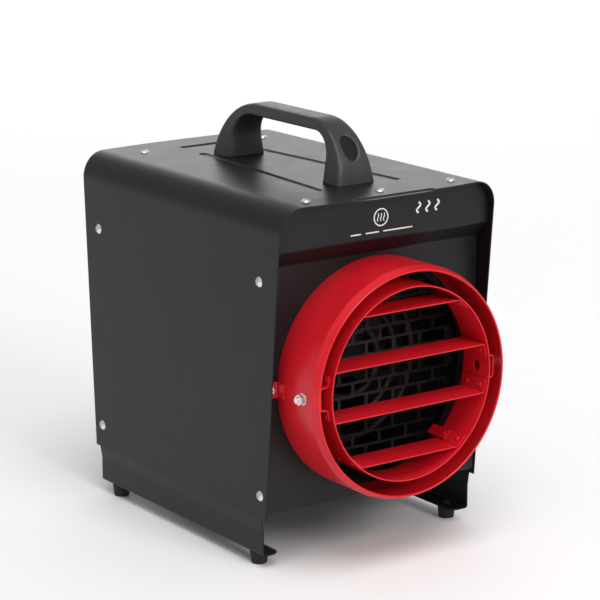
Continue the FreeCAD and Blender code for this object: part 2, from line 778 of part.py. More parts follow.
def tab_plate(offset, side):
    # end tab of a blade: follows the ring's inside, towards the outlet axis
    outer = ring_radius - ring_sheet - blade_clear
    y0 = ring_y + blade_in
    shell = tube(outer, outer - blade_sheet, (0, y0, axis_z), (0, 1, 0), blade_chord)
    toward = -1 if offset > 0 else 1
    z0 = axis_z + offset - toward * blade_sheet / 2
    start = math.degrees(math.asin((abs(offset) - blade_sheet / 2) / outer))
    sweep = math.degrees(blade_tab / outer)
    wedge = Part.makeCylinder(outer + 5, blade_chord, V(0, y0, axis_z), V(0, 1, 0), sweep + 1.5)
    # the wedge starts along +Z turned about +Y; bring its middle to the tab's middle
    middle = 90 - (start - sweep / 2) if offset > 0 else 90 + (start - sweep / 2)
    wedge.rotate(V(0, y0, axis_z), V(0, 1, 0), -first_angle(wedge, y0) + middle - (sweep + 1.5) / 2)
    tab = shell.common(wedge)
    z1 = z0 + toward * blade_tab * 3
    tab = tab.common(box(-outer - 1, outer + 1, y0 - 1, y0 + blade_chord + 1, min(z0, z1), max(z0, z1)))
    return tab if side > 0 else mirrored_x(tab)


def first_angle(wedge, y0):
    # angle of the wedge's starting edge about +Y, counted from +Z towards +X
    far = [v.Point for v in wedge.Vertexes if abs(v.Point.y - y0) < 1e-6 and
           math.hypot(v.Point.x, v.Point.z - axis_z) > 1]
    angles = sorted(math.degrees(math.atan2(p.x, p.z - axis_z)) for p in far)
    low, high = angles[0], angles[-1]
    return low if high - low < 180 else high


def louvre_blade(offset):
    half = blade_half(offset) - 0.8
    y0 = ring_y + blade_in
    z0 = axis_z + offset - blade_sheet / 2
    plate = box(-half - 6, half + 6, y0, y0 + blade_chord, z0, z0 + blade_sheet)
    outer = ring_radius - ring_sheet - blade_clear
    plate = plate.common(rod(outer, (0, y0 - 1, axis_z), (0, 1, 0), blade_chord + 2))
    blade = fuse([plate, tab_plate(offset, 1), tab_plate(offset, -1)])
    return cut_all(blade, rivet_holes(offset))


def rivet_spots(offset):
    # each blade end has two rivets through its tab: (point on the ring's inside, outward direction)
    spots = []
    outer = ring_radius - ring_sheet
    angle = math.asin(abs(offset) / outer) - 0.6 * blade_tab / outer
    for s in (-1, 1):
        for y in (ring_y + blade_in + 7, ring_y + blade_in + blade_chord - 7):
            out = V(s * math.cos(angle), 0, math.copysign(math.sin(angle), offset))
            spots.append((V(0, y, axis_z) + out * outer, out))
    return spots


def rivet_holes(offset):
    return [Part.makeCylinder(rivet_radius * rivet_shank + seat, 12, p - out * 6, out)
            for p, out in rivet_spots(offset)]


def louvre_rivets():
    rivets = []
    for offset in blade_offsets:
        for p, out in rivet_spots(offset):
            stack = blade_sheet + blade_clear
            if is_stop_rivet(offset, p):
                stack += stop_sheet + gap / 2
            stack += sagitta(rivet_radius, ring_radius - ring_sheet - stack) + 0.01
            grip = stack + ring_sheet + 0.05
            if offset in middle_blades:
                grip += gap + clip_sheet + 0.1
            rivets.append(rivet(p - out * stack, out, grip, rivet_radius))
    return rivets


def is_stop_rivet(offset, place):
    return offset == blade_offsets[-1] and place.x > 0 and place.y > pivot_y


def tilt_stop():
    # strap inside the lowest blade's right tab: its end meets the outlet guard past the full tilt
    lowest = blade_offsets[-1]
    place, out = [spot for spot in rivet_spots(lowest) if is_stop_rivet(lowest, spot[0])][0]
    outer = ring_radius - ring_sheet - blade_clear - blade_sheet - gap / 2
    y0 = place.y - stop_width / 2
    y1 = ring_y + ring_depth + stop_back
    shell = tube(outer, outer - stop_sheet, (0, y0, axis_z), (0, 1, 0), y1 - y0)
    strap = box(outer - 12, outer + 4, y0, y1, -stop_width / 2, stop_width / 2)
    strap.rotate(V(0, 0, 0), V(0, 1, 0), -math.degrees(math.atan2(out.z, out.x)))
    strap.translate(V(0, 0, axis_z))
    return cut_all(shell.common(strap), rivet_holes(lowest))


def louvre_ring():
    tools = []
    for offset in blade_offsets:
        tools += rivet_holes(offset)
    for s in (-1, 1):
        tools.append(rod(ring_hole_radius, (s * (ring_radius - 6), pivot_y, axis_z), (s, 0, 0), 12))
    return cut_all(ring_blank(), tools)


def pivot_clips():
    # channel on each side of the ring: its web holds the pivot bolt, and its feet share the rivets
    # of the two middle blades
    t = clip_sheet
    h = rivet_spots(middle_blades[0])[0][0].z - axis_z - clip_rivet_in
    web = ring_radius + gap + clip_stand
    near = ring_radius - sagitta(h, ring_radius) + gap + t / 2
    far = ring_radius - sagitta(h + clip_foot, ring_radius) + gap + t / 2
    path = [V(far, 0, h + clip_foot), V(near, 0, h), V(web + t / 2, 0, h - t / 2),
            V(web + t / 2, 0, -h + t / 2), V(near, 0, -h), V(far, 0, -h - clip_foot)]
    channel = bent_sheet(path, [0, 1.4, 1.4, 1.4, 1.4, 0], t, V(0, 1, 0), (0, clip_depth, 0))
    channel.translate(V(0, pivot_y - clip_depth / 2, axis_z))
    tools = [rod(pivot_radius + pivot_clear, (web - 3, pivot_y, axis_z), (1, 0, 0), 10)]
    for offset in middle_blades:
        tools += rivet_holes(offset)
    clip = cut_all(channel, tools)
    return [clip, mirrored_x(clip)]


def pivot_bolts():
    # stud through the collar wall and the clip's web, with a thin head inside the clip
    bolts = []
    for s in (-1, 1):
        web = ring_radius + gap + clip_stand
        head = rod(4.4, (s * (web - gap - 2.2), pivot_y, axis_z), (s, 0, 0), 2.2)
        shank = rod(pivot_radius, (s * (web - gap - 1), pivot_y, axis_z), (s, 0, 0),
                    collar_radius - web + nut_height + washer_thickness + 4.0)
        bolts.append(fuse([head, shank]))
    return bolts


def pivot_washers():
    made = []
    for s in (-1, 1):
        web_out = ring_radius + gap + clip_stand + clip_sheet
        room = collar_radius - collar_sheet - sagitta(washer_radius, collar_radius - collar_sheet) - web_out
        for x, thick in ((collar_radius + seat, washer_thickness), (web_out + gap / 2, room - gap)):
            made.append(tube(washer_radius, pivot_radius + 0.1, (s * x, pivot_y, axis_z), (s, 0, 0), thick))
    return made


def pivot_nuts():
    return [hex_nut((s * (collar_radius + seat + washer_thickness), pivot_y, axis_z), (s, 0, 0), nut_height,
                    nut_across, pivot_radius + 0.02) for s in (-1, 1)]


# ---- stamped guards
def brick_slots(y0, depth, centre_z, half_x, half_z):
    # staggered rounded slots, one prism each
    slots = []
    for row in range(-guard_rows // 2, guard_rows // 2 + 1):
        z = centre_z + (row + 0.5) * slot_pitch_z
        if abs(z - centre_z) + slot_height / 2 > half_z:
            continue
        shift = slot_pitch_x / 2 if row % 2 else 0
        for column in range(-4, 5):
            x0 = max(column * slot_pitch_x + shift - slot_length / 2, -half_x)
            x1 = min(column * slot_pitch_x + shift + slot_length / 2, half_x)
            if x1 - x0 < slot_length * 0.4:
                continue
            a = slot_height / 2
            points = [V(x0, y0, z - a), V(x1, y0, z - a), V(x1, y0, z + a), V(x0, y0, z + a)]
            slots.append(prism(points, [slot_corner] * 4, (0, depth, 0)))
    return slots


def round_slots(y0, radius):
    # slots for a plate at y0, as far as a circle about the outlet axis
    slots = Part.makeCompound(brick_slots(y0 - 1, guard_sheet + 2, axis_z, radius, radius))
    return slots.common(rod(radius, (0, y0 - 1, axis_z), (0, 1, 0), guard_sheet + 2))


def outlet_guard():
    # slotted plate on four spacers behind the front panel
    plate = box(-guard_half, guard_half, guard_y, guard_y + guard_sheet, axis_z - guard_half,
                axis_z + guard_half)
    holes = [rod(screw_hole_radius, (x, guard_y - 1, z), (0, 1, 0), 3) for x, z in spacer_spots()]
    return cut_all(plate, [round_slots(guard_y, opening_radius + 4)] + holes)


def spacer_spots():
    reach = guard_half - spacer_in
    return [(x, axis_z + z) for x in (-reach, reach) for z in (-reach, reach)]


def guard_spacers():
    # threaded tubes welded to the front panel
    y0 = panel_y + sheet + seat
    return [tube(spacer_radius, screw_hole_radius, (x, y0, z), (0, 1, 0), guard_y - seat - y0)
            for x, z in spacer_spots()]


def guard_screws():
    # from behind, through the guard into the spacers
    length = guard_sheet + guard_back * 0.8
    return [pan_screw((x, guard_y + guard_sheet, z), (0, -1, 0), length, screw_radius, 4.4, 2.2)
            for x, z in spacer_spots()]


def rear_guard():
    # round plate against the inside of the rear panel
    y0 = back_y - sheet - seat - guard_sheet
    plate = rod(opening_radius + guard_rim, (0, y0, axis_z), (0, 1, 0), guard_sheet)
    return plate.cut(round_slots(y0, opening_radius + 1))


# ---- air duct and what it carries
def air_duct():
    y0 = guard_y + guard_sheet + seat
    wall = tube(duct_radius + duct_sheet, duct_radius, (0, y0, axis_z), (0, 1, 0), duct_end_y - y0)
    rear = tube(duct_radius + duct_flange, duct_radius, (0, duct_end_y - duct_sheet, axis_z), (0, 1, 0),
                duct_sheet)
    tools = []
    for x, z in arm_ends():
        tools.append(rod(screw_hole_radius, (x, duct_end_y - 3, z), (0, 1, 0), 5))
    return cut_all(fuse([wall, rear]), tools)


def arm_ends():
    r = duct_radius + duct_flange / 2 + 0.4
    return [(r * math.cos(a), axis_z + r * math.sin(a)) for a in [math.radians(45 + 90 * i) for i in range(4)]]


def duct_stands():
    # two saddles between the base tray and the duct
    stands = []
    z0 = panel_z + 2 * sheet + seat
    for y in (guard_y + 32, duct_end_y - 36):
        block = box(-42, 42, y, y + 2, z0, axis_z - duct_radius + 12)
        block = block.cut(rod(duct_radius + duct_sheet + 0.1, (0, y - 1, axis_z), (0, 1, 0), 5))
        foot = box(-42, 42, y, y + 14, z0, z0 + 2)
        stands.append(fuse([block, foot]))
    return stands


def heating_rod(radius):
    # nearly a full circle, its ends turned back through the support strip
    start = math.degrees(math.asin((rod_end_x + rod_bend) / radius))
    pieces = []
    mouth = V(radius, 0, 0)
    disc = Part.Face(Part.Wire(Part.makeCircle(rod_radius, mouth, V(0, 0, 1))))
    arc = disc.revolve(V(0, 0, 0), V(0, 1, 0), 360 - 2 * start)
    # the circle starts on +X and turns about +Y; bring its gap to the bottom
    arc.rotate(V(0, 0, 0), V(0, 1, 0), 90 + start)
    pieces.append(arc)
    for s in (-1, 1):
        angle = math.radians(start)
        end = V(s * radius * math.sin(angle), 0, -radius * math.cos(angle))
        out = end * (1.0 / radius)
        along = V(-s * math.cos(angle), 0, -math.sin(angle))
        face = Part.Face(Part.Wire(Part.makeCircle(rod_radius, end, along)))
        centre = end + V(0, rod_bend, 0)
        turn_axis = along.cross(V(0, 1, 0))
        bend = face.revolve(centre, turn_axis, 90)
        leg_face = Part.Face(Part.Wire(Part.makeCircle(rod_radius, end + V(0, rod_bend, 0) + along * rod_bend,
                                                       V(0, 1, 0))))
        pieces += [bend, leg_face.extrude(V(0, rod_leg, 0))]
    made = fuse(pieces)
    made.rotate(V(0, 0, 0), V(0, 1, 0), rod_turn)
    made.translate(V(0, rods_y, axis_z))
    return made


def rod_legs(radius):
    start = math.asin((rod_end_x + rod_bend) / radius)
    turn = math.radians(rod_turn)
    legs = []
    for s in (-1, 1):
        x = s * (radius * math.sin(start) - rod_bend * math.cos(start))
        z = -radius * math.cos(start) - rod_bend * math.sin(start)
        legs.append((x * math.cos(turn) + z * math.sin(turn), axis_z - x * math.sin(turn) + z * math.cos(turn)))
    return legs


def all_legs():
    return [leg for radius in rod_circles for leg in rod_legs(radius)]


def rod_strip():
    # strip across the duct that carries the rods' legs through ceramic bushings
    y0 = rods_y + strip_back
    reach = math.sqrt((duct_radius - gap) ** 2 - (strip_width / 2) ** 2)
    plate = box(-strip_width / 2, strip_width / 2, y0, y0 + strip_sheet, axis_z - reach, axis_z + reach)
    feet = [box(-strip_width / 2, strip_width / 2, y0, y0 + 14,
                min(axis_z + s * reach, axis_z + s * (reach - strip_sheet)),
                max(axis_z + s * reach, axis_z + s * (reach - strip_sheet))) for s in (-1, 1)]
    strip = fuse([plate] + feet)
    strip.rotate(V(0, 0, axis_z), V(0, 1, 0), rod_turn)
    return cut_all(strip, [rod(bushing_radius + 0.05, (x, y0 - 1, z), (0, 1, 0), 4) for x, z in all_legs()])


def ceramic_bushings():
    made = []
    y0 = rods_y + strip_back
    for x, z in all_legs():
        body = rod(bushing_radius, (x, y0 - 2.5, z), (0, 1, 0), bushing_length)
        lip = rod(bushing_radius + 1.5, (x, y0 + strip_sheet + 0.05, z), (0, 1, 0), 2.5)
        made.append(fuse([body, lip]).cut(rod(rod_radius + 0.06, (x, y0 - 6, z), (0, 1, 0), 30)))
    return made


def rod_terminals():
    # threaded end with its nut and a flat blade
    made = []
    y0 = rods_y + rod_bend + rod_leg
    for x, z in all_legs():
        stud = rod(1.8, (x, y0, z), (0, 1, 0), 9)
        nut = hex_nut((x, y0 + 1.5, z), (0, 1, 0), 2.4, 6.5, 1.7)
        blade = box(x - 0.4, x + 0.4, y0 + 5, y0 + 17, z - 3.1, z + 3.1)
        made.append(fuse([stud, nut, blade]))
    return made


# ---- fan and motor
def fan_impeller():
    hub = rod(fan_hub_radius, (0, fan_y, axis_z), (0, 1, 0), fan_depth)
    hub = hub.makeFillet(5.0, [e for e in hub.Edges if abs(e.BoundBox.YMax - fan_y) < 0.01])
    hub = hub.cut(rod(fan_hub_radius - 2.5, (0, fan_y + 3, axis_z), (0, 1, 0), fan_depth))
    boss = rod(9, (0, fan_y + 1, axis_z), (0, 1, 0), fan_depth - 6)
    zone = tube(fan_radius, fan_hub_radius - 1, (0, fan_y + 2, axis_z), (0, 1, 0), fan_depth - 4)
    blades = []
    for i in range(fan_blades):
        plate = box(-31, 31, -0.9, 0.9, fan_hub_radius - 2, fan_radius + 4)
        plate.rotate(V(0, 0, 0), V(0, 0, 1), fan_pitch)
        plate.translate(V(0, fan_y + fan_depth / 2, axis_z))
        plate.rotate(V(0, 0, axis_z), V(0, 1, 0), 360.0 / fan_blades * i)
        blades.append(plate.common(zone))
    wheel = fuse([hub, boss] + blades)
    return wheel.cut(rod(shaft_radius, (0, fan_y - 1, axis_z), (0, 1, 0), fan_depth + 4))


def motor_shaft():
    return rod(shaft_radius, (0, fan_y - 8, axis_z), (0, 1, 0), motor_front + 20 - fan_y + 8)


def fan_nut():
    return hex_nut((0, fan_y - 6.5, axis_z), (0, 1, 0), 6.4, 13.0, shaft_radius + shaft_clear)


def motor():
    body = rod(motor_radius, (0, motor_front, axis_z), (0, 1, 0), motor_length)
    ends = [e for e in body.Edges if e.Length < 2 * math.pi * motor_radius + 1 and e.BoundBox.YLength < 0.01]
    body = body.makeFillet(4.0, ends)
    tail = rod(12, (0, motor_front + motor_length - 0.5, axis_z), (0, 1, 0), 5)
    holes = [rod(shaft_radius + shaft_clear, (0, motor_front - 1, axis_z), (0, 1, 0), 23)]
    for x, z in motor_screw_spots():
        holes.append(rod(1.95, (x, motor_front - 1, z), (0, 1, 0), 9))
    return cut_all(fuse([body, tail]), holes)


def motor_screw_spots():
    quarter = [math.radians(45 + 90 * i) for i in range(4)]
    return [(motor_bolt_circle * math.cos(a), axis_z + motor_bolt_circle * math.sin(a)) for a in quarter]


def motor_bracket():
    # four arms from the duct's rear flange to the motor's front face
    y0 = duct_end_y + 0.02
    hub = rod(motor_radius - 1, (0, y0, axis_z), (0, 1, 0), arm_sheet)
    arms = []
    for i in range(4):
        arm = box(0, duct_radius + duct_flange, y0, y0 + arm_sheet, -arm_width / 2, arm_width / 2)
        arm = arm.common(rod(duct_radius + duct_flange, (0, y0 - 1, 0), (0, 1, 0), arm_sheet + 2))
        arm.rotate(V(0, 0, 0), V(0, 1, 0), 45 + 90 * i)
        arm.translate(V(0, 0, axis_z))
        arms.append(arm)
    holes = [rod(shaft_radius + 2, (0, y0 - 1, axis_z), (0, 1, 0), arm_sheet + 2)]
    for x, z in motor_screw_spots():
        holes.append(rod(2.1, (x, y0 - 1, z), (0, 1, 0), arm_sheet + 2))
    for x, z in arm_ends():
        holes.append(rod(screw_hole_radius, (x, y0 - 1, z), (0, 1, 0), arm_sheet + 2))
    return cut_all(fuse([hub] + arms), holes)


def motor_screws():
    return [pan_screw((x, duct_end_y, z), (0, 1, 0), 9, 1.9, 3.6, 2.0) for x, z in motor_screw_spots()]


def duct_screws():
    y = duct_end_y + arm_sheet + 0.04
    return [pan_screw((x, y, z), (0, -1, 0), 6, 2.2, 4.2, 2.2) for x, z in arm_ends()]


# ---- controls, wiring parts
def control_body(x, width, height, depth):
    y1 = back_y - sheet - seat
    block = box(x - width / 2, x + width / 2, y1 - depth, y1, control_z - height / 2,
                control_z + height / 2)
    neck = rod(spindle_radius + 1.4, (x, y1 - 0.5, control_z), (0, 1, 0), sheet + seat + 1.5)
    bore = rod(spindle_radius + 0.05, (x, y1 - 12, control_z), (0, 1, 0), 20)
    return fuse([block, neck]).cut(bore)


def thermostat():
    return control_body(knob_offset, 36, 36, 26)


def selector_switch():
    return control_body(-knob_offset, 30, 32, 34)


def control_knob(x):
    # skirted knob with a pointer ridge and its own spindle
    y0 = back_y + gap
    skirt = Part.makeCone(knob_radius, knob_radius - 1.5, 5, V(x, y0 + 1.2, control_z), V(0, 1, 0))
    grip = Part.makeCone(knob_radius - 3.5, knob_radius - 5, knob_depth - 6, V(x, y0 + 6, control_z), V(0, 1, 0))
    ridge = box(x - 2, x + 2, y0 + 6, y0 + knob_depth + 1.2, control_z - 11, control_z + knob_radius - 1.5)
    spindle = rod(spindle_radius, (x, back_y - sheet - 11, control_z), (0, 1, 0), sheet + 11 + gap + 5)
    return fuse([skirt, grip, ridge, spindle])


def reset_button():
    y1 = back_y + button_stand
    cap = rod(button_radius, (-button_x, back_y - sheet - 3, control_z), (0, 1, 0), button_stand + sheet + 3)
    cap = cap.makeFillet(1.2, [e for e in cap.Edges if abs(e.BoundBox.YMin - y1) < 0.01])
    stem = rod(2.0, (-button_x, back_y - sheet - 12, control_z), (0, 1, 0), 10)
    return fuse([cap, stem])


def reset_cutout():
    # latching overheat cut-out behind the reset button
    y1 = back_y - sheet - seat
    block = box(-button_x - 9.5, -button_x + 9.5, y1 - 24, y1, control_z - 11, control_z + 11)
    well = rod(button_radius + gap, (-button_x, y1 - 7, control_z), (0, 1, 0), 10)
    bore = rod(2.05, (-button_x, y1 - 16, control_z), (0, 1, 0), 20)
    return block.cut(well).cut(bore)


def indicator_lamp():
    dome = rod(lamp_radius + 1.2, (button_x, back_y, control_z), (0, 1, 0), 2.5)
    dome = dome.makeFillet(1.8, [e for e in dome.Edges if abs(e.BoundBox.YMin - back_y - 2.5) < 0.01])
    barrel = rod(lamp_radius - 0.1, (button_x, back_y - sheet - 14, control_z), (0, 1, 0), sheet + 14.2)
    return fuse([dome, barrel])


def cable_gland():
    z = panel_z + gland_rise
    flange = rod(gland_radius + 1.5, (gland_x, back_y, z), (0, 1, 0), 3)
    nose = Part.makeCone(gland_radius - 0.5, gland_radius - 3, 9, V(gland_x, back_y + 3, z), V(0, 1, 0))
    thread = rod(gland_thread - 0.1, (gland_x, back_y - sheet - 9, z), (0, 1, 0), sheet + 9.2)
    return fuse([flange, nose, thread]).cut(rod(4.1, (gland_x, back_y - 20, z), (0, 1, 0), 40))


def gland_nut():
    return hex_nut((gland_x, back_y - sheet - 4.6, panel_z + gland_rise), (0, 1, 0), 4.5, 20.0, gland_thread)


def terminal_block():
    z0 = panel_z + 2 * sheet + seat
    x0, y0 = 58.0, back_y - 74
    block = box(x0, x0 + 44, y0, y0 + 20, z0, z0 + 16)
    wells = []
    for i in range(4):
        x = x0 + 5.5 + 11 * i
        wells.append(rod(2.6, (x, y0 + 6, z0 + 8), (0, 0, 1), 9))
        wells.append(rod(2.6, (x, y0 + 14, z0 + 8), (0, 0, 1), 9))
        wells.append(box(x - 2.5, x + 2.5, y0 - 1, y0 + 3, z0 + 3, z0 + 9))
    return cut_all(block, wells)


def thermal_cutout():
    # snap disc on a strap on top of the duct
    y = rods_y + 42
    z0 = axis_z + duct_radius + duct_sheet
    strap = box(-11, 11, y - 6, y + 6, z0 + 0.05, z0 + 1.3)
    cap = rod(8, (0, y, z0 + 1), (0, 0, 1), 8)
    pins = [box(s * 4 - 0.4, s * 4 + 0.4, y - 3, y + 3, z0 + 8.5, z0 + 18) for s in (-1, 1)]
    return fuse([strap, cap] + pins)


if __name__ == "__main__":
    os.makedirs("parts", exist_ok=True)
    for name in ("outer_cover", "front_panel", "rear_panel", "base_panel", "handle", "handle_plugs",
                 "handle_screws", "rubber_feet", "foot_screws", "cover_side_screws", "cover_top_screws",
                 "base_screws", "outlet_collar", "collar_brackets", "collar_rivets", "bracket_screws",
                 "outlet_guard", "guard_spacers", "guard_screws", "rear_guard", "tilt_stop", "louvre_ring",
                 "louvre_rivets", "pivot_clips", "pivot_bolts", "pivot_washers", "pivot_nuts", "air_duct",
                 "duct_stands", "rod_strip",
                 "ceramic_bushings", "rod_terminals", "fan_impeller", "motor_shaft", "fan_nut", "motor",
                 "motor_bracket", "motor_screws", "duct_screws", "thermostat", "selector_switch",
                 "reset_button", "reset_cutout", "indicator_lamp", "cable_gland", "gland_nut",
                 "terminal_block", "thermal_cutout"):
        save(name, globals()[name]())
    for number, offset in enumerate(blade_offsets, 1):
        save("louvre_blade_%d" % number, louvre_blade(offset))
    for name, radius in zip(("inner", "middle", "outer"), rod_circles):
        save("heating_rod_%s" % name, heating_rod(radius))
    save("thermostat_knob", control_knob(knob_offset))
    save("selector_knob", control_knob(-knob_offset))
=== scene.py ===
import json
import math

import bmesh
import bpy
import numpy as np
from mathutils import Matrix, Vector


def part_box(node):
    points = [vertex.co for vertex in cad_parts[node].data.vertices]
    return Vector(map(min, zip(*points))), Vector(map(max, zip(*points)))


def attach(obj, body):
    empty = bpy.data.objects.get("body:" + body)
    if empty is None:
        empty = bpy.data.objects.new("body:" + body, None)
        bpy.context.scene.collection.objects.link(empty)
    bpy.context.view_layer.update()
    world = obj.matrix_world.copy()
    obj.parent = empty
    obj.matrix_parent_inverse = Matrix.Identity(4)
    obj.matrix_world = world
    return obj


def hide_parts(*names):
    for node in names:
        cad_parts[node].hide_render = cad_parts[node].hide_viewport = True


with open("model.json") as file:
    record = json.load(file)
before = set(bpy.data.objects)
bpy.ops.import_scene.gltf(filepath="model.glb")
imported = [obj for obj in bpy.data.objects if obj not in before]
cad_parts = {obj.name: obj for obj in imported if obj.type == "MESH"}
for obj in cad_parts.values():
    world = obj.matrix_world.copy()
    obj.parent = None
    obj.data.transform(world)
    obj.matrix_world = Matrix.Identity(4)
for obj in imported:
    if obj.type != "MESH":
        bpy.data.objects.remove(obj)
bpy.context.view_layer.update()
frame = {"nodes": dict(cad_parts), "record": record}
nodes = frame["nodes"]
print("frame loaded:", len(nodes), "nodes")

cameraSet = {
    "place": (-1.36147, -1.9050, 0.79816),
    "yaw": 35.383,          # degrees, turned right from looking along +Y
    "pitch": 13.798,        # degrees down
    "roll": 0.10,
    "lens": 147.76,         # mm
    "sensor": 36.0,         # mm
    "shift": (0.0254, -0.0112),
    "clip": (0.05, 60.0),
}

lightSet = {
    "world": ("#ffffff", 0.5),
    "sun": ((-0.3, -0.6, 1.6), 1.4, 40.0, "#ffffff"),       # comes from, strength, softness in degrees
    "softboxes": {
        # name: (place, aimed at, width, height, watts, colour)
        "backPanel": ((2.9, 4.1, 1.6), (0.0, 0.0, 0.35), 4.0, 1.7, 44.0, "#ffffff"),
        "frontPanel": ((0.1, -3.0, 1.8), (0.0, -0.15, 0.18), 1.4, 0.9, 42.0, "#ffffff"),
    },
}

floorSet = {"half": 14.0, "colour": "#f3f3f3"}


def hexColour(code, alpha=1.0):  # sRGB hex to the linear values that a shader takes
    parts = [int(code[i:i + 2], 16) / 255 for i in (1, 3, 5)]
    return [p / 12.92 if p <= 0.04045 else ((p + 0.055) / 1.055) ** 2.4 for p in parts] + [alpha]


def setCamera(made):
    yaw, pitch, roll = (math.radians(made[k]) for k in ("yaw", "pitch", "roll"))
    level = math.cos(pitch)
    ahead = Vector((math.sin(yaw) * level, math.cos(yaw) * level, -math.sin(pitch)))
    right = ahead.cross(Vector((0, 0, 1))).normalized()
    up = right.cross(ahead)
    turned = Matrix.Rotation(roll, 3, ahead)
    right, up = turned @ right, turned @ up
    data = bpy.data.cameras.new("camera")
    camera = bpy.data.objects.new("camera", data)
    camera.matrix_world = Matrix((right, up, -ahead)).transposed().to_4x4()
    camera.location = made["place"]
    data.sensor_width, data.lens = made["sensor"], made["lens"]
    data.shift_x, data.shift_y = made["shift"]
    data.clip_start, data.clip_end = made["clip"]
    bpy.context.scene.collection.objects.link(camera)
    bpy.context.scene.camera = camera


def setLights(made):
    world = bpy.data.worlds.new("studio")
    world.use_nodes = True
    colour, strength = made["world"]
    back = world.node_tree.nodes["Background"]
    back.inputs["Color"].default_value = hexColour(colour)
    back.inputs["Strength"].default_value = strength
    bpy.context.scene.world = world
    source, strength, softness, tint = made["sun"]
    sun = bpy.data.lights.new("sun", "SUN")
    sun.energy, sun.angle, sun.color = strength, math.radians(softness), hexColour(tint)[:3]
    hangLamp(sun, source, (0, 0, 0))
    for name, (place, aim, width, height, watts, tint) in made["softboxes"].items():
        data = bpy.data.lights.new(name, "AREA")
        data.shape = "RECTANGLE"
        data.size, data.size_y = width, height
        data.energy, data.color = watts, hexColour(tint)[:3]
        hangLamp(data, place, aim)


def hangLamp(data, place, aim):
    lamp = bpy.data.objects.new(data.name, data)
    lamp.location = place
    lamp.rotation_euler = (Vector(aim) - Vector(place)).to_track_quat("-Z", "Y").to_euler()
    bpy.context.scene.collection.objects.link(lamp)


def addNode(mat, kind, settings=None, values=None, links=None):  # a node with its settings, values and links
    node = mat.node_tree.nodes.new(kind)
    for name, value in (settings or {}).items():
        setattr(node, name, value)
    for name, value in (values or {}).items():
        node.inputs[name].default_value = hexColour(value) if isinstance(value, str) else value
    for name, source in (links or {}).items():
        mat.node_tree.links.new(source, node.inputs[name])
    return node


def startMaterial(name, values):  # a Principled material whose even values sit on the shader's own sockets
    mat = bpy.data.materials.new(name)
    mat.use_nodes = True
    shader = mat.node_tree.nodes["Principled BSDF"]
    for key, value in values.items():
        shader.inputs[key].default_value = hexColour(value) if isinstance(value, str) else value
    return mat, shader, addNode(mat, "ShaderNodeTexCoord").outputs["Object"]


def mm(size):  # noise scale that gives features of this many millimetres
    return 1000.0 / size


def finish(name, values, tones=None, gloss=None, grain=None, edge=None):
    # tones: patch size in mm and two colours; gloss: patch size in mm and two roughnesses;
    # grain: bump size and depth in mm; edge: mm that a sharp sheet edge looks rounded by
    mat, shader, place = startMaterial(name, values)
    link = mat.node_tree.links.new
    if tones:
        size, low, high = tones
        cloud = addNode(mat, "ShaderNodeTexNoise", None, {"Scale": mm(size), "Detail": 3.0},
                        {"Vector": place})
        spread = addNode(mat, "ShaderNodeMapRange", None, {"From Min": 0.32, "From Max": 0.68},
                         {"Value": cloud.outputs["Fac"]})
        mixed = addNode(mat, "ShaderNodeMixRGB", None, {"Color1": low, "Color2": high},
                        {"Fac": spread.outputs["Result"]})
        link(mixed.outputs["Color"], shader.inputs["Base Color"])
    if gloss:
        size, low, high = gloss
        cloud = addNode(mat, "ShaderNodeTexNoise", None, {"Scale": mm(size), "Detail": 4.0},
                        {"Vector": place})
        spread = addNode(mat, "ShaderNodeMapRange", None,
                         {"From Min": 0.3, "From Max": 0.7, "To Min": low, "To Max": high},
                         {"Value": cloud.outputs["Fac"]})
        link(spread.outputs["Result"], shader.inputs["Roughness"])
    if grain:
        size, depth = grain
        cloud = addNode(mat, "ShaderNodeTexNoise", None, {"Scale": mm(size), "Detail": 2.0},
                        {"Vector": place})
        bump = addNode(mat, "ShaderNodeBump", None, {"Distance": depth / 1000},
                       {"Height": cloud.outputs["Fac"]})
        link(bump.outputs["Normal"], shader.inputs["Normal"])
        if edge:
            soft = addNode(mat, "ShaderNodeBevel", {"samples": 4}, {"Radius": edge / 1000})
            link(soft.outputs["Normal"], bump.inputs["Normal"])
    return mat


def galvanised():
    # hot-dip galvanised sheet: zinc crystals about 6 mm across, each with its own shade
    mat, shader, place = startMaterial("galvanisedSheet", {"Metallic": 1.0, "Roughness": 0.4})
    spangle = addNode(mat, "ShaderNodeTexVoronoi", None, {"Scale": mm(6)}, {"Vector": place})
    tone = addNode(mat, "ShaderNodeMixRGB", None, {"Color1": "#868b8f", "Color2": "#aab0b3"},
                   {"Fac": spangle.outputs["Color"]})
    mat.node_tree.links.new(tone.outputs["Color"], shader.inputs["Base Color"])
    return mat


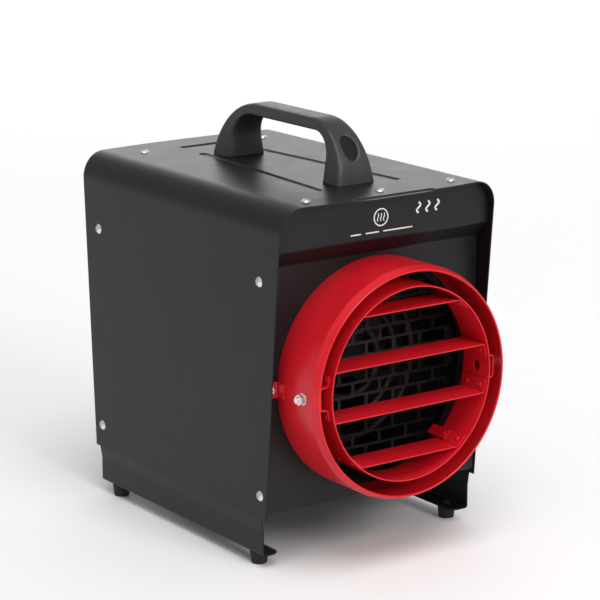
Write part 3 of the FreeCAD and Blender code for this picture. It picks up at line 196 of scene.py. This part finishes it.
finishes = {
    # black polyester powder coat, baked on sheet steel: a faint orange peel about 2 mm across
    "black_powder_coat": finish("blackPowderCoat", {"Specular IOR Level": 0.27}, (60, "#151416", "#171618"),
                                (25, 0.385, 0.42), (2.2, 0.03), 0.6),
    # stoved red enamel on sheet steel: thicker than powder, so it flows flat and shines
    "red_enamel": finish("redEnamel",
                         {"Coat Weight": 0.1, "Coat Roughness": 0.15, "Specular IOR Level": 0.27},
                         (40, "#c81622", "#d31c29"), (18, 0.28, 0.38), (5.0, 0.03), 0.6),
    # glass-filled nylon from a spark-eroded mould: satin, its grain drawn 0.9 mm across so that it shows
    "black_moulding": finish("blackNylon", {}, (30, "#2b2a2e", "#313034"),
                             (9, 0.40, 0.50), (0.9, 0.05)),
    # the same nylon, finer and duller
    "black_plug": finish("mattNylon", {"Specular IOR Level": 0.25}, (8, "#0a0a0b", "#0f0f10"),
                         (4, 0.52, 0.66), (0.8, 0.04)),
    # carbon-filled moulded rubber: dull, with dust in its grain
    "black_rubber": finish("blackRubber", {"Roughness": 0.75, "Specular IOR Level": 0.35},
                           (3, "#1e1d1d", "#2e2c2b"), None, (1.2, 0.08)),
    # bright zinc plate on steel: silver, slightly clouded
    "zinc_screws": finish("brightZinc", {"Metallic": 1.0}, (3, "#d3d4d7", "#f0f0f1"),
                          (1.6, 0.24, 0.4)),
    # black oxide on steel, oiled
    "black_screws": finish("blackOxide", {"Metallic": 0.6}, (3, "#232324", "#303031"),
                           (2, 0.35, 0.5)),
    # dip-painted black steel, thicker where the paint drained
    "black_guard": finish("dipPaint", {"Specular IOR Level": 0.25}, (12, "#131213", "#1a191a"),
                          (6, 0.42, 0.58), (3, 0.05)),
    # painted shade: the duct's sheet steel is coloured near-black to stand for the shade deep inside the
    # heater behind the guard; dead flat and faintly mottled
    "duct_steel": finish("ductPaintedShade", {"Specular IOR Level": 0.25}, (15, "#0e0d0d", "#151413"),
                         (8, 0.55, 0.7)),
    "galvanised_sheet": galvanised(),
    # stainless sheath browned and greyed by heat, and darkened further as painted shade for the dark inside
    # of the heater behind the guard
    "heater_sheath": finish("heatTintedSheathPaintedShade", {"Metallic": 0.5, "Specular IOR Level": 0.3},
                            (14, "#2a2826", "#3a3734"), (5, 0.4, 0.55)),
    # glazed steatite: cream-white with faint iron specks
    "white_ceramic": finish("glazedSteatite", {}, (2.5, "#e2dac8", "#f1ece0"), (6, 0.12, 0.2)),
    # electro-tinned steel: pale grey, soft shine
    "tinned_terminal": finish("tinnedSteel", {"Metallic": 1.0}, (4, "#bbbab4", "#c9c8c2"),
                              (2, 0.26, 0.42)),
    # painted shade: the pressed steel blades are coloured near-black to stand for the shade inside the
    # heater behind the guard
    "fan_steel": finish("fanPaintedShade", {"Specular IOR Level": 0.3}, (20, "#121213", "#1a1a1b"),
                        (12, 0.4, 0.52)),
    # centreless-ground steel: pale, its shine uneven along the bar
    "shaft_steel": finish("groundSteel", {"Base Color": "#a8a9ab", "Metallic": 1.0}, None,
                          (1.5, 0.18, 0.34)),
    # hammered grey-black motor enamel
    "motor_steel": finish("motorPaint", {}, (10, "#28292b", "#2f3032"), (7, 0.42, 0.58), (1.5, 0.05)),
    # pressed phenolic: matt black with pale filler flecks
    "black_control": finish("blackPhenolic", {"Roughness": 0.5}, (1.2, "#151413", "#26231f")),
    # ABS from a polished mould: deep black with a clean shine
    "knob_black": finish("polishedKnob", {}, (20, "#131315", "#18181a"), (5, 0.24, 0.34)),
    # the same plastic, dyed red
    "button_red": finish("redButton", {"Roughness": 0.3}, (6, "#a01116", "#ab161b")),
    # moulded amber lens over a neon lamp
    "lamp_amber": finish("amberLens", {"Base Color": "#d9741a", "Roughness": 0.12, "IOR": 1.49,
                                       "Transmission Weight": 0.5}, None, None, (1.0, 0.1)),
    # moulded nylon, unfilled: black and slightly waxy
    "black_gland": finish("glandNylon", {}, (10, "#121213", "#1a1a1b"), (4, 0.46, 0.6), (0.8, 0.04)),
    # moulded melamine: warm cream
    "cream_terminal": finish("creamMelamine", {"Roughness": 0.4}, (8, "#d2c7a8", "#dfd6bc")),
}
# pad-printed white ink: thin, flat and a little uneven
whiteInk = finish("whiteInk", {"Specular IOR Level": 0.3}, (3, "#e6e6e4", "#f4f4f2"),
                  (2, 0.45, 0.6))


def paintNodes():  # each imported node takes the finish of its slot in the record
    for part in frame["record"]["subparts"]:
        shown = nodes[part["node"]]
        if not shown.material_slots:
            shown.data.materials.append(None)
        for place in shown.material_slots:
            place.material = finishes[part["material_slot"]]


def surfaceMesh(name, grid, mat, closedAcross=True):
    # a grid of points, rows by columns, becomes quads; a row that is one point becomes a closed pole
    rows, columns = grid.shape[:2]
    index = np.arange(rows * columns).reshape(rows, columns)
    after = np.roll(index, -1, axis=1) if closedAcross else index[:, 1:]
    first = index if closedAcross else index[:, :-1]
    quads = np.stack([first[:-1], after[:-1], after[1:], first[1:]], axis=-1).reshape(-1, 4)
    mesh = bpy.data.meshes.new(name)
    mesh.from_pydata((grid.reshape(-1, 3) / 1000).tolist(), [], quads.tolist())
    form = bmesh.new()
    form.from_mesh(mesh)
    bmesh.ops.remove_doubles(form, verts=form.verts, dist=1e-7)
    bmesh.ops.recalc_face_normals(form, faces=form.faces)
    form.to_mesh(mesh)
    form.free()
    mesh.shade_smooth()
    mesh.materials.append(mat)
    made = bpy.data.objects.new(name, mesh)
    bpy.context.scene.collection.objects.link(made)
    return made


def boxOf(name):  # a node's corners in millimetres
    return [np.array(corner) * 1000 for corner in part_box(name)]


def unit(v):
    return v / np.linalg.norm(v)


def smooth(low, high, values):  # 0 below low, 1 above high, eased between
    t = np.clip((values - low) / (high - low), 0, 1)
    return t * t * (3 - 2 * t)


def roundedRun(corners, radii, counts):
    # straight runs joined by tangent arcs: an arc is its centre plus a turn between two spokes
    rows, last = [], corners[0]
    for i, radius in enumerate(radii):
        here = corners[i + 1]
        u, v = unit(corners[i] - here), unit(corners[i + 2] - here)
        half = math.acos(u @ v) / 2
        start, end = here + u * radius / math.tan(half), here + v * radius / math.tan(half)
        centre = here + unit(u + v) * radius / math.sin(half)
        rows.append(last + np.linspace(0, 1, counts[2 * i], endpoint=False)[:, None] * (start - last))
        t = np.linspace(0, 1, counts[2 * i + 1], endpoint=False)[:, None]
        turn = math.pi - 2 * half
        spokes = (start - centre) * np.sin((1 - t) * turn) + (end - centre) * np.sin(t * turn)
        rows.append(centre + spokes / math.sin(turn))
        last = end
    rows.append(last + np.linspace(0, 1, counts[-1])[:, None] * (corners[-1] - last))
    return np.concatenate(rows)


handleSet = {
    "lean": 7.0, "shoulders": (57.0, 64.0), "legs": (27.0, 31.0), "bar": 12.0, "gripCorners": (20.8, 26.0),
    "halfFoot": 23.0, "halfTop": 13.5, "sharpness": 6.0,       # of the section's superellipse
    "counts": (14, 110, 46, 110, 14), "around": 168,
    "flare": 1.15,                                # how the half width grows towards the foot
    "plugAngle": 36.0, "plugHalf": (9.0, 13.8), "dish": 1.3, "dishWall": (0.96, 1.08),
    "flute": 0.5, "flutePitch": 4.2, "fluteRun": (0.70, 0.76, 0.955, 0.99), "fluteHalf": 0.88,
}
plugSet = {
    "gap": (0.45, 0.55), "crown": 0.45, "seat": 0.25, "around": 72,
    "rings": (0, 0.2, 0.4, 0.6, 0.75, 0.87, 0.95, 0.99, 1.0, 1.0, 0.0),
    "drops": (0, 0, 0, 0, 0, 0, 0, 0.04, 0.15, 0.9, 0.9),         # each ring's depth below the crown
}


def handleSpine(made):  # outer and inner lines of the arch in the plane x = 0, and the plug's spots
    low, high = boxOf("handle")
    y0, y1, foot, top = low[1], high[1], low[2], high[2]
    lean, bar = made["lean"], made["bar"]
    front, rear = made["legs"]
    outer = [np.array(p) for p in ((y0, foot), (y0 + lean, top), (y1 - lean, top), (y1, foot))]
    inner = [np.array(p) for p in ((y0 + front, foot), (y0 + front + 1, top - bar),
                                   (y1 - rear - 1, top - bar), (y1 - rear, foot))]
    height = top - foot
    angle = math.radians(made["plugAngle"])
    spots = []
    for sign, radius, edge in ((-1, made["shoulders"][0], y0), (1, made["shoulders"][1], y1)):
        inward = (radius * math.hypot(height, lean) + (height - radius) * lean) / height
        out = np.array((sign * math.cos(angle), math.sin(angle)))
        spots.append((np.array((edge - sign * inward, top - radius)), out, radius))
    return (roundedRun(outer, made["shoulders"], made["counts"]),
            roundedRun(inner, made["gripCorners"], made["counts"]), spots)


def buildHandle(made):
    # section: superellipse |a|^n + |d|^n = 1 at even steps round its edge, d from the arch's inner line
    # to its outer one, a across, scaled by the half width at the point's own height; the dish is pushed
    # in along the plug's direction, and the flutes run along the rear leg's inner face
    outer, inner, spots = handleSpine(made)
    t = np.linspace(0, 2 * math.pi, 4001)
    edge = np.stack([np.sign(f(t)) * np.abs(f(t)) ** (2 / made["sharpness"]) for f in (np.cos, np.sin)])
    length = np.concatenate([[0], np.cumsum(np.hypot(*np.diff(edge)))])
    even = np.linspace(0, length[-1], made["around"], endpoint=False)
    a, d = np.interp(even, length, edge[0]), np.interp(even, length, edge[1])
    plane = (outer + inner)[:, None] / 2 + (outer - inner)[:, None] / 2 * d[None, :, None]
    foot, top = outer[:, 1].min(), outer[:, 1].max()
    rise = (plane[..., 1] - foot) / (top - foot)
    width = made["halfTop"] + (made["halfFoot"] - made["halfTop"]) * (1 - rise) ** made["flare"]
    x = width * a
    dishing = smooth(0.3, 0.75, d)[None, :]
    for centre, out, radius in spots:
        along = (plane - centre) @ np.array((-out[1], out[0]))
        ahead = smooth(0.0, 8.0, (plane - centre) @ out)
        reach = np.hypot(x / made["plugHalf"][0], along / made["plugHalf"][1])
        push = made["dish"] * (1 - smooth(*made["dishWall"], reach)) * dishing * ahead
        plane = plane - push[..., None] * out
    station = np.linspace(0, 1, len(outer))[:, None]
    run = made["fluteRun"]
    fluted = smooth(run[0], run[1], station) * (1 - smooth(run[2], run[3], station))
    fluted = fluted * smooth(-0.6, -0.9, d)[None, :]
    wave = made["flute"] * (0.5 + 0.5 * np.cos(2 * math.pi * x / made["flutePitch"]))
    wave = wave * (np.abs(a) < made["fluteHalf"])
    inward = (outer - inner) / np.linalg.norm(outer - inner, axis=1)[:, None]
    plane = plane + (fluted * wave)[..., None] * inward[:, None]
    grid = np.concatenate([x[..., None], plane], axis=-1)
    caps = [np.broadcast_to(row.mean(axis=0), row.shape)[None] for row in (grid[0], grid[-1])]
    arch = surfaceMesh("handleArch", np.concatenate([caps[0], grid, caps[1]]), finishes["black_moulding"])
    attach(arch, "heater_body")
    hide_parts("handle")
    for name, (centre, out, radius) in zip(("frontPlug", "rearPlug"), spots):
        buildPlug(name, plugSet, made, centre, out, radius)


def buildPlug(name, made, arch, centre, out, radius):
    # oval button in the dish: rings of an ellipse, crowned by (1 - r^2), following the shoulder's curve
    r = np.array(made["rings"])[:, None]
    turn = np.linspace(0, 2 * math.pi, made["around"], endpoint=False)[None, :]
    x = (arch["plugHalf"][0] - made["gap"][0]) * r * np.cos(turn)
    along = (arch["plugHalf"][1] - made["gap"][1]) * r * np.sin(turn)
    drop = np.array(made["drops"])[:, None]
    lift = np.sqrt(radius ** 2 - along ** 2) - arch["dish"] + made["crown"] * (1 - r ** 2) - drop
    lift = lift + made["seat"]
    plane = centre + lift[..., None] * out + along[..., None] * np.array((-out[1], out[0]))
    plug = surfaceMesh(name, np.concatenate([x[..., None], plane], axis=-1), finishes["black_plug"])
    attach(plug, "heater_body")
    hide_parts("handle_plugs")


printSet = {
    "height": 0.07, "clear": 0.01,               # of the ink, and its gap from the paint
    "sign": ((-4.5, 325.4), 7.9, 1.3),           # ring on the upper strip: middle (x, z), radius, line width
    "signWaves": (3.5, 7.4, 1.0),                # spacing, height and line width of the heat waves in it
    "bars": ((-39.5, -27.5), (-22.0, -6.5), (-2.0, 32.5)),
    "barHigh": (312.0, 1.3),
    "warm": ((50.5, 329.2), 11.0, 10.2, 2.0),    # larger heat waves: middle, spacing, height, line width
    "waveSwing": 0.2,                            # of their spacing
}
dialSet = {
    # knob: number of ticks, their span in degrees, whether an arc runs round them
    "knobs": {"thermostat_knob": (11, (-135.0, 135.0), True), "selector_knob": (4, (-67.5, 67.5), False)},
    "ticks": (19.4, 22.6, 0.9),                  # inner end, outer end, line width
    "shorter": 1.4, "longEvery": 5,
    "arc": (24.2, 0.8),                          # radius, line width
}


def stroke(path, width, face, closed=False):
    # ink line on a wall that faces along y: a flat bar's section carried along the path
    height, clear = printSet["height"], printSet["clear"]
    ahead = np.roll(path, -1, axis=0) - np.roll(path, 1, axis=0)
    if not closed:
        ahead[0], ahead[-1] = path[1] - path[0], path[-1] - path[-2]
    side = np.stack([-ahead[:, 1], ahead[:, 0]], axis=1) / np.linalg.norm(ahead, axis=1)[:, None]
    y, out = face
    rows = []
    for across, depth in ((-1, 0), (-1, 1), (1, 1), (1, 0)):
        spot = path + side * across * width / 2
        level = np.full(len(path), y + out * (depth * height + clear))
        rows.append(np.stack([spot[:, 0], level, spot[:, 1]], axis=1))
    grid = np.stack(rows, axis=1)
    if closed:
        return np.concatenate([grid, grid[:1]])
    ends = [np.broadcast_to(row.mean(axis=0), row.shape)[None] for row in (grid[0], grid[-1])]
    return np.concatenate([ends[0], grid, ends[1]])


def waves(middle, spacing, height, width, face):
    # three upright heat waves: x swings as a sine while z rises
    t = np.linspace(-1, 1, 40)
    swing = spacing * printSet["waveSwing"] * np.sin(t * math.pi)
    return [stroke(np.stack([middle[0] + k * spacing + swing, middle[1] + t * height / 2], axis=1),
                   width, face) for k in (-1, 0, 1)]


def joinStrokes(name, grids):  # strokes become one piece of ink
    parts = [surfaceMesh(name + str(i), grid, whiteInk) for i, grid in enumerate(grids)]
    form = bmesh.new()
    for part in parts:
        form.from_mesh(part.data)
    mesh = bpy.data.meshes.new(name)
    form.to_mesh(mesh)
    form.free()
    mesh.materials.append(whiteInk)
    for part in parts:
        bpy.data.meshes.remove(part.data)
    made = bpy.data.objects.new(name, mesh)
    bpy.context.scene.collection.objects.link(made)
    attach(made, "heater_body")
    return made


def printMarks(made):
    # front panel: a ring with heat waves in it, three bars below it, larger heat waves beside it
    face = (boxOf("front_panel")[0][1], -1)
    turn = np.linspace(0, 2 * math.pi, 96, endpoint=False)
    middle, radius, line = made["sign"]
    ring = np.array(middle) + radius * np.stack([np.cos(turn), np.sin(turn)], axis=1)
    grids = [stroke(ring, line, face, True)]
    grids += waves(middle, *made["signWaves"], face)
    z, high = made["barHigh"]
    grids += [stroke(np.array([(x0, z), (x1, z)]), high, face) for x0, x1 in made["bars"]]
    grids += waves(*made["warm"], face)
    joinStrokes("frontMarks", grids)


def printDials(made):
    # rear panel: radial ticks round each knob, and an even arc round the thermostat's
    face = (boxOf("rear_panel")[1][1], 1)
    inner, outer, line = made["ticks"]
    radius, arcLine = made["arc"]
    for name, (count, span, hasArc) in made["knobs"].items():
        low, high = boxOf(name)
        x = (low[0] + high[0]) / 2
        z = low[2] + (high[0] - low[0]) / 2          # its round skirt is the lowest part of it
        grids = []
        for i, turn in enumerate(np.radians(np.linspace(*span, count))):
            spoke = np.array((math.sin(turn), math.cos(turn)))
            start = inner + made["shorter"] if hasArc and i % made["longEvery"] else inner
            grids.append(stroke(np.array((x, z)) + spoke * np.array([[start], [outer]]), line, face))
        if hasArc:
            t = np.radians(np.linspace(*span, 90))
            path = np.array((x, z)) + radius * np.stack([np.sin(t), np.cos(t)], axis=1)
            grids.append(stroke(path, arcLine, face))
        joinStrokes("dialMarks" + name.split("_")[0].title(), grids)


def layFloor(made):
    h = made["half"]             # m
    mesh = bpy.data.meshes.new("floor")
    mesh.from_pydata([(-h, -h, 0), (h, -h, 0), (h, h, 0), (-h, h, 0)], [], [(0, 1, 2, 3)])
    floor = bpy.data.objects.new("floor", mesh)
    bpy.context.scene.collection.objects.link(floor)
    mesh.materials.append(startMaterial("studioPaper", {"Base Color": made["colour"], "Roughness": 0.9})[0])


bpy.context.scene.view_settings.view_transform = "Standard"
setCamera(cameraSet)
setLights(lightSet)
layFloor(floorSet)
paintNodes()
print("studio and finishes done")
buildHandle(handleSet)
print("handle done")
printMarks(printSet)
printDials(dialSet)
print("printed marks done")
